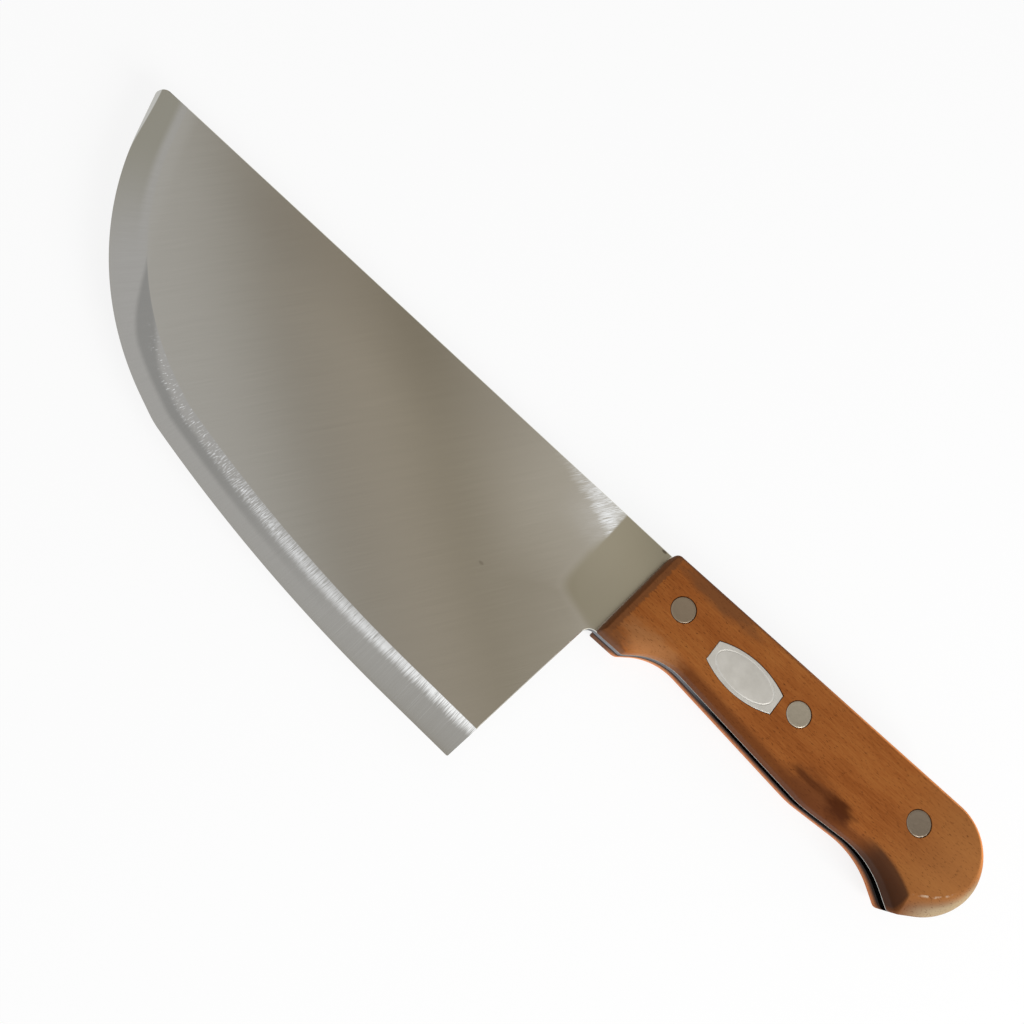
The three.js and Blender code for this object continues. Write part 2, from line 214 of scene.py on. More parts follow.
def side(start, end, inset):
    """Straight side between two corners, moved to its left: a point on it, and its direction."""
    along = Vector((end.x - start.x, end.y - start.y)).normalized()
    left = Vector((-along.y, along.x))
    return Vector((start.x, start.y)) + left * inset, along


def meeting(before, after):
    """Where two sides meet, and how far the path turns there."""
    (start, along), (other, heading) = before, after
    cross = along.x * heading.y - along.y * heading.x
    gap = other - start
    reach = (gap.x * heading.y - gap.y * heading.x) / cross
    return start + along * reach, math.atan2(cross, along.dot(heading))


def corner_arcs(corners, inset=0.0, share=0.0):
    """Arc at every corner of a counter-clockwise outline that is moved inwards by inset, and by a
    share of each side's own rounded width. Each arc is a list of points and inward normals."""
    count = len(corners)
    insets = [inset + share * corner.ease for corner in corners]
    sides = [side(corners[i], corners[(i + 1) % count], insets[i]) for i in range(count)]
    joints = [meeting(sides[i - 1], sides[i]) for i in range(count)]
    wanted = []
    for i, (_, turn) in enumerate(joints):
        moved = math.copysign((insets[i - 1] + insets[i]) / 2, turn)
        radius = max(corners[i].radius - moved, min(corners[i].radius, LEAST_RADIUS))
        wanted.append(radius * math.tan(abs(turn) / 2))
    arcs = []
    for i, (vertex, turn) in enumerate(joints):
        tangent = math.inf
        for other in (i - 1, (i + 1) % count):
            length = (joints[other][0] - vertex).length
            tangent = min(tangent, length * wanted[i] / max(wanted[i] + wanted[other], length))
        arcs.append(corner_arc(vertex, turn, sides[i - 1][1], tangent, corners[i].radius))
    return arcs


def corner_arc(vertex, turn, along, tangent, nominal):
    """Points and inward normals of one rounded corner."""
    heading = math.atan2(along.y, along.x)
    if not nominal:
        return [(vertex, Vector((-math.sin(heading + turn / 2), math.cos(heading + turn / 2))))]
    radius = tangent / math.tan(turn / 2)
    steps = math.ceil(abs(turn) / (2 * math.acos(1 - SAG / (nominal + SAG))))
    centre = vertex - along * tangent + Vector((-along.y, along.x)) * radius
    arc = []
    for k in range(steps + 1):
        angle = heading + turn * k / steps
        normal = Vector((-math.sin(angle), math.cos(angle)))
        arc.append((centre - normal * radius, normal))
    return arc


def outline(corners, inset=0.0, share=0.0):
    return [point for arc in corner_arcs(corners, inset, share) for point, _ in arc]


def full_turn():
    return [2 * math.pi * k / ROUND_SIDES for k in range(ROUND_SIDES)]


def circle(centre, diameter):
    return [centre + Vector((math.cos(a), math.sin(a))) * (diameter / 2) for a in full_turn()]


def badge_outline(grow=0.0):
    """Barrel shape: straight short ends and two bowed long sides."""
    half, end = BADGE_LENGTH / 2, BADGE_END / 2
    radius = (half**2 + BADGE_BOW**2) / (2 * BADGE_BOW)
    reach = math.asin(half / radius)
    steps = math.ceil(reach / math.acos(1 - SAG / radius))
    points = []
    for turn in (1, -1):
        for k in range(steps + 1):
            angle = reach * (1 - 2 * k / steps)
            x, y = radius * math.sin(angle), end + BADGE_BOW - radius * (1 - math.cos(angle))
            points.append(turn * Vector((x * (1 + grow / half), y + grow)))
    return points


def on_badge(points):
    turn = Matrix.Rotation(BADGE_TURN, 2)
    return [turn @ point + BADGE_PLACE for point in points]


# Flat meshes cut along lines

def triangulate(loops, runs=()):
    """Triangles inside the first loop and outside the others, with every loop and run as edges."""
    points, edges = [], []
    for line in (*loops, *runs):
        first = len(points)
        points.extend(line)
        edges.extend((first + i, first + i + 1) for i in range(len(line) - 1))
    ends = np.cumsum([len(loop) for loop in loops])
    edges.extend((int(end) - 1, int(end) - len(loop)) for end, loop in zip(ends, loops))
    flat, _, faces, *_ = delaunay_2d_cdt(points, edges, [], 0, 1e-5)
    flat = np.array(flat)
    middles = np.array([flat[list(face)].mean(0) for face in faces])
    keep = inside(middles, loops[0])
    for hole in loops[1:]:
        keep &= ~inside(middles, hole)
    faces = np.array([face for face, kept in zip(faces, keep) if kept])
    used, faces = np.unique(faces, return_inverse=True)
    return flat[used], faces.reshape(-1, 3).tolist()


def inside(points, loop):
    """Which points lie inside a closed loop."""
    start = np.array([tuple(p) for p in loop])
    end = np.roll(start, -1, axis=0)
    x, y = points[:, :1], points[:, 1:]
    straddles = (start[:, 1] > y) != (end[:, 1] > y)
    with np.errstate(divide="ignore", invalid="ignore"):
        share = (y - start[:, 1]) / (end[:, 1] - start[:, 1])
        crossing = start[:, 0] + share * (end[:, 0] - start[:, 0])
    return (straddles & (x < crossing)).sum(1) % 2 == 1


def along_run(points, run):
    """Distance of each point from a run of segments, how far along the run its foot lies, and the
    foot itself."""
    path = np.array([tuple(p) for p in run])
    start, step = path[:-1], np.diff(path, axis=0)
    length = np.linalg.norm(step, axis=1)
    share = ((points[:, None] - start) * step).sum(2) / length**2
    feet = start + np.clip(share, 0, 1)[..., None] * step
    gaps = np.linalg.norm(points[:, None] - feet, axis=2)
    rows, best = np.arange(len(points)), gaps.argmin(1)
    travelled = np.concatenate([[0], np.cumsum(length)])[best] + share[rows, best] * length[best]
    return gaps[rows, best], travelled, feet[rows, best]


# Meshes and pieces

def make_piece(name, mesh, materials, slot, *nodes):
    """Finished mesh in millimetres as a piece of the object that stands for CAD nodes."""
    mesh.transform(Matrix.Scale(MM, 4) @ Matrix.Translation(TO_FRAME))
    piece = bpy.data.objects.new(name, mesh)
    bpy.context.scene.collection.objects.link(piece)
    for material in materials:
        mesh.materials.append(material)
    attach(piece, "root")
    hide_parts(*nodes)


def close_mesh(name, bm, sharp_angle=None):
    """Turns a bmesh into a smooth-shaded mesh with outward faces."""
    bmesh.ops.recalc_face_normals(bm, faces=bm.faces)
    for face in bm.faces:
        face.smooth = True
    if sharp_angle:
        for edge in bm.edges:
            if edge.is_manifold and edge.calc_face_angle() > sharp_angle:
                edge.smooth = False
    mesh = bpy.data.meshes.new(name)
    bm.to_mesh(mesh)
    bm.free()
    return mesh


def add_ring(bm, points, z):
    heights = z if isinstance(z, list) else [z] * len(points)
    return [bm.verts.new((p.x, p.y, height)) for p, height in zip(points, heights)]


def bridge(bm, low, high):
    """Faces between two rings with the same number of points."""
    for i, vert in enumerate(low):
        after = (i + 1) % len(low)
        bm.faces.new((vert, low[after], high[after], high[i]))


# Blade

def edge_run(depth=0.0):
    """Cutting edge moved into the blade by depth, run on straight past the tip and the heel."""
    arcs = corner_arcs(BLANK_CORNERS)
    path = [step for arc in arcs[1:4] for step in arc]
    points = [point + normal * depth for point, normal in path]
    nose, heel = path[0][1], path[-1][1]
    before = points[0] - Vector((nose.y, -nose.x)) * NOSE_LENGTH
    after = points[-1] + Vector((heel.y, -heel.x)) * BLADE_DEPTH
    return [before, *points, after]


def ground_half(x, y):
    """Half thickness of the flat grind, which thins towards the tip and towards the edge."""
    spine = TIP_GROUND + (SPINE_GROUND - TIP_GROUND) * x / BLADE_LENGTH
    return (spine + SHOULDER_LOSS * y / (BLADE_DEPTH - BEVEL_WIDTH)) / 2


# Places along the cutting edge, measured from the start of its path ahead of the tip
TIP_MARK = 46
CREASE_END = 104
HEEL_MARK = 270
SOFT_SHOULDER = 0.35
CRISP_SHOULDER = 0.002


def soft_lower(first, second, width):
    """Lower of two heights, rounded where they cross."""
    near = np.clip(width - abs(first - second), 0, None)
    return np.minimum(first, second) - near**2 / (4 * width)


def blade_form(points):
    """Half thickness of the blade, and the measures that place its finishes: distance from the
    edge, and way along the edge."""
    depth, travelled, feet = along_run(points, edge_run())
    lean = np.clip(depth, 1e-6, None)[:, None]
    shoulder = feet + (points - feet) / lean * BEVEL_WIDTH
    root = ground_half(shoulder[:, 0], shoulder[:, 1])
    bevel = EDGE_LAND / 2 + (root - EDGE_LAND / 2) * (depth / BEVEL_WIDTH) ** BEVEL_HOLLOW
    fade = np.clip((CREASE_END - travelled) / (CREASE_END - TIP_MARK) * 2, 0, 1)
    soft = CRISP_SHOULDER + (SOFT_SHOULDER - CRISP_SHOULDER) * fade
    half = soft_lower(bevel, ground_half(points[:, 0], points[:, 1]), soft)
    stock = outline(RICASSO_CORNERS)
    out, _, _ = along_run(points, [*stock, stock[0]])
    out = np.where(inside(points, stock), 0, out)
    rise = np.clip(1 - out / PLUNGE_RUN, 0, 1) ** 2
    return half + (HALF_STEEL - half) * rise, depth, travelled


SCRATCH = math.radians(57)
SCRATCHES = "scratches"
UV_UNIT = 100
BEVEL_STEPS = 10
SHOULDER_STEPS = (1, 2, 3, 4.5)
PLUNGE_STEPS = 8
EASE_LIMIT = 0.4
UNDERSIDE_TOP = 22
RIM_ANGLE = math.radians(4)

# Zones of the blade, in the order of its materials
GRIND, BEVEL, STOCK, TANG_EDGE = range(4)


def scratch_uv(point, depth, travelled, zone):
    """Place on the finish: the first number runs along the grinding scratches."""
    x, y = point
    if zone == BEVEL:
        return depth / UV_UNIT, travelled / UV_UNIT
    if zone == STOCK:
        return x / UV_UNIT, y / UV_UNIT
    along = x * math.cos(SCRATCH) + y * math.sin(SCRATCH)
    across = y * math.cos(SCRATCH) - x * math.sin(SCRATCH)
    return along / UV_UNIT, across / UV_UNIT


def blade_mesh():
    """Blade and tang: both faces over one set of flat triangles, joined by the walls."""
    rim = outline(BLANK_CORNERS)
    inner = outline(BLANK_CORNERS, SPINE_EASE)
    depths = [BEVEL_WIDTH * k / BEVEL_STEPS for k in range(1, BEVEL_STEPS + 1)]
    beyond = [BEVEL_WIDTH + step for step in SHOULDER_STEPS]
    runs = [edge_run(depth) for depth in (*depths, *beyond)]
    for k in range(PLUNGE_STEPS + 2):
        runs.append(outline(RICASSO_CORNERS, -PLUNGE_RUN * k / PLUNGE_STEPS)[:-1])
    flat, faces = triangulate([rim], [*runs, [*inner, inner[0]]])
    half, depth, travelled = blade_form(flat)
    to_rim, _, _ = along_run(flat, [*rim, rim[0]])
    at_tip = (flat[:, 1] > -BEVEL_WIDTH) & (depth > SPINE_EASE)
    on_rim = (to_rim < SPINE_EASE / 4) & (at_tip | (depth > BEVEL_WIDTH))
    half -= np.where(on_rim, np.minimum(SPINE_EASE, EASE_LIMIT * half), 0)

    bm = bmesh.new()
    uv = bm.loops.layers.uv.new(SCRATCHES)
    front = [bm.verts.new((x, y, h)) for (x, y), h in zip(flat, half)]
    back = [bm.verts.new((x, y, -h)) for (x, y), h in zip(flat, half)]
    for face in faces:
        zone = BEVEL if depth[face].mean() < BEVEL_WIDTH else GRIND
        if to_rim[face].max() < 1.2 * SPINE_EASE and zone == GRIND:
            zone = STOCK
        for verts in (front, back):
            made = bm.faces.new([verts[i] for i in face])
            made.material_index = zone
            for loop, i in zip(made.loops, face):
                loop[uv].uv = scratch_uv(flat[i], depth[i], travelled[i], zone)
    add_walls(bm, uv, flat, faces, front, back)
    bmesh.ops.recalc_face_normals(bm, faces=bm.faces)
    bm.verts.index_update()
    mark_creases(bm, travelled)
    return close_mesh("blade_finish", bm)


def add_walls(bm, uv, flat, faces, front, back):
    """Rim of the steel between its two faces, with the lower edge of the tang as its own zone."""
    directed = {(face[i - 1], face[i]) for face in faces for i in range(3)}
    for a, b in directed:
        if (b, a) in directed:
            continue
        wall = bm.faces.new((front[a], front[b], back[b], back[a]))
        low = max(flat[a][1], flat[b][1]) < -UNDERSIDE_TOP
        start, end = sorted((flat[a][0], flat[b][0]))
        handle_underside = low and start > FRONT_X - CHOIL_SETBACK and end < BEAK_X + 1
        wall.material_index = TANG_EDGE if handle_underside else STOCK
        for loop in wall.loops:
            loop[uv].uv = scratch_uv(loop.vert.co.xz, 0, 0, STOCK)


def mark_creases(bm, travelled):
    """Sharp lines of the blade: its rim, and the shoulder of the bevel from the belly to the
    heel. Towards the tip the shoulder fades into a soft crease."""
    for edge in bm.edges:
        zones = {face.material_index for face in edge.link_faces}
        steep = edge.calc_face_angle(0) > RIM_ANGLE
        way = min(travelled[vert.index % len(travelled)] for vert in edge.verts)
        edge.smooth = not (steep or (zones == {GRIND, BEVEL} and way > CREASE_END))


# Scales

ROUND_STEPS = 14
CRISP_SWEEP = math.radians(58)


def rounded_rings():
    """Rings of a scale's rounded edge, from the foot of the rounding up to the flat face."""
    arcs = corner_arcs(SCALE_CORNERS)
    crisp = []
    for i, arc in enumerate(arcs):
        before, after = SCALE_CORNERS[i - 1].crisp, SCALE_CORNERS[i].crisp
        crisp += [before + (after - before) * (k / (len(arc) - 1)) ** 2 for k in range(len(arc))]
    rings = []
    for k in range(ROUND_STEPS + 1):
        soft, hard = math.pi / 2 * k / ROUND_STEPS, CRISP_SWEEP * k / ROUND_STEPS
        hard_in = (1 - math.cos(hard)) / (1 - math.cos(CRISP_SWEEP))
        hard_up = math.sin(hard) / math.sin(CRISP_SWEEP)
        soft_ring = outline(SCALE_CORNERS, 0, 1 - math.cos(soft))
        hard_ring = outline(SCALE_CORNERS, 0, hard_in)
        points = [a.lerp(b, c) for a, b, c in zip(soft_ring, hard_ring, crisp)]
        rises = [math.sin(soft) * (1 - c) + hard_up * c for c in crisp]
        rings.append((points, [FACE - ROUND_DROP * (1 - rise) for rise in rises]))
    return rings, crisp


def scale_mesh(name, face_side, holes):
    """Wooden scale with rounded outer edges, with open recesses for what is let into its face.
    Each hole is an outline and a depth."""
    rings, crisp = rounded_rings()
    bm = bmesh.new()
    foot = add_ring(bm, rings[0][0], HALF_STEEL)
    bm.faces.new(foot)
    below = foot
    for points, heights in rings:
        ring = add_ring(bm, points, heights)
        bridge(bm, below, ring)
        below = ring
    for i, vert in enumerate(below):
        edge = bm.edges.get((vert, below[(i + 1) % len(below)]))
        edge.smooth = min(crisp[i], crisp[(i + 1) % len(below)]) < 0.5
    for loop, depth in holes:
        mouth = add_ring(bm, loop, FACE)
        floor = add_ring(bm, loop, FACE - depth)
        bridge(bm, mouth, floor)
        bm.faces.new(floor)
    flat, faces = triangulate([rings[-1][0], *(loop for loop, _ in holes)])
    cap = [bm.verts.new((x, y, FACE)) for x, y in flat]
    for face in faces:
        bm.faces.new([cap[i] for i in face])
    bmesh.ops.remove_doubles(bm, verts=bm.verts, dist=WELD)
    bmesh.ops.scale(bm, vec=(1, 1, face_side), verts=bm.verts)
    for edge in bm.edges:
        if edge.calc_face_angle(0) > SHARP_ANGLE:
            edge.smooth = False
    return close_mesh(name, bm)


def rivet_holes():
    """Outline and depth of the recess for each rivet head."""
    mouth, depth = RIVET_HEAD + 2 * FIT, RIVET_HEAD_DEPTH + FLUSH
    return [(circle(place, mouth), depth) for place in RIVET_PLACES]


# Rivets and plate

RIVET_ROLL = 0.3
RIVET_DISH = 0.06
DISH_STEPS = 6
ROLL_STEPS = 5


def rivet_mesh(name, place, face_side):
    """Rivet half: dished head with a rolled rim, and its shank down to the tang."""
    head, top = RIVET_HEAD / 2, FACE - FLUSH
    flat = head - RIVET_ROLL
    profile = []
    for k in range(1, DISH_STEPS + 1):
        dip = RIVET_DISH * (1 - (k / DISH_STEPS) ** 4)
        profile.append((flat * k / DISH_STEPS, top - dip))
    for k in range(1, ROLL_STEPS + 1):
        angle = math.pi / 2 * k / ROLL_STEPS
        dip = RIVET_ROLL * (1 - math.cos(angle))
        profile.append((flat + RIVET_ROLL * math.sin(angle), top - dip))
    profile += [(head, top - RIVET_HEAD_DEPTH), (RIVET_SHANK / 2, top - RIVET_HEAD_DEPTH)]
    profile.append((RIVET_SHANK / 2, HALF_STEEL))
    bm = bmesh.new()
    rings = [add_ring(bm, circle(place, 2 * radius), z) for radius, z in profile]
    for low, high in zip(rings, rings[1:]):
        bridge(bm, low, high)
    bm.faces.new(rings[0])
    bm.faces.new(rings[-1])
    bmesh.ops.scale(bm, vec=(1, 1, face_side), verts=bm.verts)
    return close_mesh(name, bm, SHARP_ANGLE)


BADGE_ROLL = 0.18
BADGE_STEPS = 4
BADGE_CROWN = 0.08
CROWN_SHARES = (0.2, 0.4, 0.6, 0.8)
OVAL = Vector((9.7, 4.7))
OVAL_LINE = 0.28
OVAL_CUT = 0.07
LINE_ANGLE = math.radians(8)


def oval(grow):
    length, width = OVAL.x + grow, OVAL.y + grow
    return [Vector((length * math.cos(a), width * math.sin(a))) for a in full_turn()]


def badge_mesh():
    """Thin plate with a rolled rim, a slight crown and a fine oval line cut round its field."""
    top = FACE - FLUSH
    bm = bmesh.new()
    base = add_ring(bm, on_badge(badge_outline()), top - BADGE_THICKNESS)
    bm.faces.new(base)
    below = base
    for k in range(BADGE_STEPS + 1):
        angle = math.pi / 2 * k / BADGE_STEPS
        loop = badge_outline(BADGE_ROLL * (math.cos(angle) - 1))
        ring = add_ring(bm, on_badge(loop), top - BADGE_ROLL * (1 - math.sin(angle)))
        bridge(bm, below, ring)
        below = ring
    inner = [oval(-OVAL.y * share) for share in CROWN_SHARES]
    lines = [oval(-OVAL_LINE), oval(0), oval(OVAL_LINE), *inner]
    flat, faces = triangulate([loop], [[*line, line[0]] for line in lines])
    reach = np.hypot(flat[:, 0] / OVAL.x, flat[:, 1] / OVAL.y)
    height = top + BADGE_CROWN * np.clip(1 - reach**2, 0, 1)
    height -= np.where(abs(reach - 1) < OVAL_LINE / OVAL.x / 4, OVAL_CUT, 0)
    places = on_badge([Vector(p) for p in flat])
    cap = [bm.verts.new((p.x, p.y, z)) for p, z in zip(places, height)]
    for face in faces:
        bm.faces.new([cap[i] for i in face])
    bmesh.ops.remove_doubles(bm, verts=bm.verts, dist=WELD)
    return close_mesh("badge_plate", bm, LINE_ANGLE)


# Materials

def seen(red, green, blue):
    """Colour from its 0 to 255 screen values."""
    def linear(value):
        value /= 255
        return value / 12.92 if value <= 0.04045 else ((value + 0.055) / 1.055) ** 2.4
    return linear(red), linear(green), linear(blue), 1.0


class Graph:
    """Adds and links the nodes of one node tree."""

    def __init__(self, tree):
        self.tree = tree
        tree.nodes.clear()

    def add(self, kind, inputs, **settings):
        node = self.tree.nodes.new("ShaderNode" + kind)
        for name, value in settings.items():
            setattr(node, name, value)
        for key, value in inputs.items():
            if isinstance(value, bpy.types.NodeSocket):
                self.tree.links.new(value, node.inputs[key])
            else:
                node.inputs[key].default_value = value
        return node

    def math(self, operation, *values):
        return self.add("Math", dict(enumerate(values)), operation=operation).outputs[0]

    def times(self, first, *others):
        """Product of several values."""
        for value in others:
            first = self.math("MULTIPLY", first, value)
        return first

    def line(self, value, slope, start):
        """Straight line over a value."""
        return self.math("MULTIPLY_ADD", value, slope, start)

    def rest(self, share):
        """What a share leaves of the whole."""
        return self.math("SUBTRACT", 1.0, share)

    def vector(self, operation, *values):
        node = self.add("VectorMath", dict(enumerate(values)), operation=operation)
        return node.outputs["Value" if operation in ("DOT_PRODUCT", "LENGTH") else "Vector"]

    def split(self, vector):
        """The three parts of a vector."""
        return self.add("SeparateXYZ", {0: vector}).outputs

    def noise(self, place, stretch, detail=2.0, rough=0.5):
        """Noise from 0 to 1 with its own scale along each axis."""
        spread = self.vector("MULTIPLY", place, stretch)
        inputs = {"Vector": spread, "Scale": 1.0, "Detail": detail, "Roughness": rough}
        return self.add("TexNoise", inputs).outputs["Fac"]

    def step(self, value, low, high):
        """Smooth step from 0 at low to 1 at high."""
        limits = {0: value, 1: low, 2: high}
        return self.add("MapRange", limits, interpolation_type="SMOOTHSTEP").outputs[0]

    def fall(self, value, low, high):
        """Smooth step from 1 at low to 0 at high."""
        limits = {0: value, 1: low, 2: high, 3: 1.0, 4: 0.0}
        return self.add("MapRange", limits, interpolation_type="SMOOTHSTEP").outputs[0]

    def between(self, value, start, full, fade, end):
        """Smooth step up from start to full, and down again from fade to end."""
        return self.times(self.step(value, start, full), self.fall(value, fade, end))

    def blend(self, share, first, second):
        node = self.add("Mix", {0: share, 6: first, 7: second}, data_type="RGBA")
        return node.outputs[2]

    def coat(self, base, colour, *shares):
        """A colour laid over a base by the product of some shares."""
        return self.blend(self.times(*shares), base, colour)

    def ramp(self, value, *stops):
        node = self.add("ValToRGB", {0: value})
        marks = node.color_ramp.elements
        while len(marks) < len(stops):
            marks.new(1.0)
        for mark, (place, colour) in zip(marks, stops):
            mark.position = place
            mark.color = colour
        return node.outputs[0]

    def bump(self, height, strength, depth):
        inputs = {"Height": height, "Strength": strength, "Distance": depth * MM}
        return self.add("Bump", inputs).outputs["Normal"]

    def place(self):
        """Place on the object in millimetres: from the tip, the spine line and mid-steel."""
        here = self.add("TexCoord", {}).outputs["Object"]
        return self.vector("MULTIPLY_ADD", here, (1 / MM,) * 3, -TO_FRAME)

    def track(self):
        """Place on the steel's finish, along and across the scratches."""
        return self.add("UVMap", {}, uv_map=SCRATCHES).outputs[0]

    def scratch_tangent(self):
        """Direction of the scratches."""
        return self.add("Tangent", {}, direction_type="UV_MAP", uv_map=SCRATCHES).outputs[0]

    def finish(self, **inputs):
        names = {key.replace("_", " "): value for key, value in inputs.items()}
        shader = self.add("BsdfPrincipled", names)
        self.add("OutputMaterial", {0: shader.outputs[0]})


def new_material(name):
    material = bpy.data.materials.new(name)
    material.use_nodes = True
    return material, Graph(material.node_tree)


# Bright steel tone, for hairlines and for the painted highlights of the bevel
GLINT_AND_HAIRLINE_STEEL = (0.95, 0.95, 0.95, 1)
SLANT = (math.cos(SCRATCH), math.sin(SCRATCH), 0, 1)


def brushed(graph, colour, fine, height, tangent):
    """Brushed steel that blurs its reflections across the scratches."""
    graph.finish(
        Base_Color=colour,
        Metallic=1.0,
        Roughness=graph.line(fine, 0.05, 0.165),
        Anisotropic=0.8,
        Anisotropic_Rotation=0.25,
        Tangent=tangent,
        Normal=graph.bump(height, 0.12, 0.01),
    )


# Tones of the flat grind, of the painted shade along the spine and of the ricasso, and where they
# start, are full, fade and end
GRIND_DARK = (0.352, 0.335, 0.304, 1)
GRIND_LIGHT = (0.388, 0.37, 0.338, 1)
SPINE_SHADE_TONE = (0.24, 0.222, 0.195, 1)
SPINE_SHADE_REACH = (20, 65, 135, 170)
SPINE_SHADE_DROP = 26
RICASSO_TONE = (0.318, 0.295, 0.24, 1)
RICASSO_LOW = (0.285, 0.264, 0.212, 1)
RICASSO_TOP = 8
RICASSO_FADE = 2.5
MARK_TONE = (0.12, 0.1, 0.08, 1)
MARK_EDGE = (0.5, 1.1)
SPECK_PLACE = (163.3, -39.3)
NICK_PLACE = (198.9, -0.6)
# Bright bluish tone of the painted highlight beside the plunge
PLUNGE_GLINT_STEEL = (0.84, 0.88, 0.97, 1)


def ground_steel():
    """Satin flat grind with fine slanted scratches: painted shade in a darker strip along the
    spine, blended into the even ricasso, and coarse with a painted highlight beside the top of the
    plunge."""
    material, graph = new_material("ground_steel")
    track = graph.track()
    fine = graph.noise(track, (6.0, 900.0, 1.0), 3.0, 0.6)
    broad = graph.noise(track, (2.0, 60.0, 1.0), 2.0)
    scratch = graph.math("ADD", graph.times(fine, 0.8), graph.times(broad, 0.2))
    tone = graph.ramp(scratch, (0.3, GRIND_DARK), (0.7, GRIND_LIGHT))
    place = graph.place()
    x, y, _ = graph.split(place)
    # Painted shade: a darker strip along the spine
    spine_shade = graph.times(graph.between(x, *SPINE_SHADE_REACH), graph.step(y, -SPINE_SHADE_DROP, 0))
    tone = graph.coat(tone, SPINE_SHADE_TONE, spine_shade, 0.42)
    flat = graph.blend(graph.step(y, -RICASSO_DEPTH, -RICASSO_TOP), RICASSO_LOW, RICASSO_TONE)
    tone = graph.coat(tone, flat, ricasso(graph, x, y))
    for centre, share in ((SPECK_PLACE, 0.3), (NICK_PLACE, 0.9)):
        away = graph.vector("SUBTRACT", place, (*centre, 0))
        size = graph.vector("LENGTH", graph.vector("MULTIPLY", away, (1, 2, 0)))
        tone = graph.coat(tone, MARK_TONE, graph.fall(size, *MARK_EDGE), share)
    # Painted highlight beside the top of the plunge
    tone = graph.coat(tone, PLUNGE_GLINT_STEEL, plunge_glint(graph, track, x, y))
    brushed(graph, tone, fine, scratch, graph.scratch_tangent())
    return material


def ricasso(graph, x, y):
    """Share of the flat ricasso, which fades out over the hollow beside it."""
    behind = graph.math("SUBTRACT", x, PLUNGE_X)
    height = graph.math("ADD", y, RICASSO_DEPTH)
    above = graph.line(behind, math.tan(RICASSO_SLOPE), height)
    nearest = graph.math("SMOOTH_MIN", behind, above, PLUNGE_RADIUS)
    return graph.step(nearest, -RICASSO_FADE, RICASSO_FADE / 3)


# Sizes of the painted highlight's bright fan and of the painted haze of light round it
FAN_LENGTH = 31
FAN_WIDTH = 9
FAN_RAGGED = 7
FAN_EDGE = (1.6, 5.6)
HAZE_LENGTH = 20
HAZE_CORE = 4
HAZE_WIDTH = 17
PLUNGE_EDGE = (-0.5, 0.4)


def plunge_glint(graph, track, x, y):
    """Painted highlight where the wheel has left coarse scratches: a ragged bright fan along the
    spine that widens towards the plunge line, in a faint painted haze of light."""
    streak = graph.noise(track, (26.0, 460.0, 1.0), 2.0, 0.6)
    ragged = graph.noise(track, (3.0, 230.0, 1.0), 3.0, 0.7)
    before = graph.math("SUBTRACT", PLUNGE_X, x)
    below = graph.times(y, -1.0)
    near = graph.math("MAXIMUM", graph.rest(graph.math("DIVIDE", before, FAN_LENGTH)), 0.0)
    border = graph.times(graph.math("POWER", near, 1.5), FAN_WIDTH)
    inner = graph.math("SUBTRACT", graph.line(ragged, FAN_RAGGED, border), below)
    patch = graph.step(graph.noise(track, (12.0, 45.0, 1.0), 2.0, 0.6), 0.36, 0.58)
    lines = graph.times(graph.step(streak, 0.34, 0.6), graph.line(patch, 0.6, 0.4))
    fan = graph.times(graph.step(inner, *FAN_EDGE), graph.step(near, 0.0, 0.9))
    fan = graph.times(fan, graph.line(lines, 0.8, 0.25))
    haze = graph.times(graph.fall(before, 0.0, HAZE_LENGTH), graph.line(lines, 0.15, 0.2))
    haze = graph.times(haze, graph.fall(below, HAZE_CORE, HAZE_WIDTH))
    return graph.times(graph.math("MAXIMUM", fan, haze), graph.step(before, *PLUNGE_EDGE))


# Tones of the bevel, with the painted shade near the tip and along the belly, depths from the edge,
# and places along it
BEVEL_DARK = (0.35, 0.336, 0.312, 1)
BEVEL_LIGHT = (0.388, 0.373, 0.348, 1)
HEEL_TONE = (0.3, 0.293, 0.277, 1)
TIP_SHADE_TONE = (0.29, 0.274, 0.23, 1)
BELLY_SHADE_TONE = (0.2, 0.195, 0.182, 1)
HONED_LENGTH = 27
HONED_WIDTH = 1.4
CREASE_DEPTH = 8.2
BELLY_DEPTH = 4.2
BELLY_FADE = (160, 235)
BAND_DEPTH = 6.8
BAND_NARROWING = 1.2
BAND_START = 119
BAND_FULL = 142
HEEL_START = 208


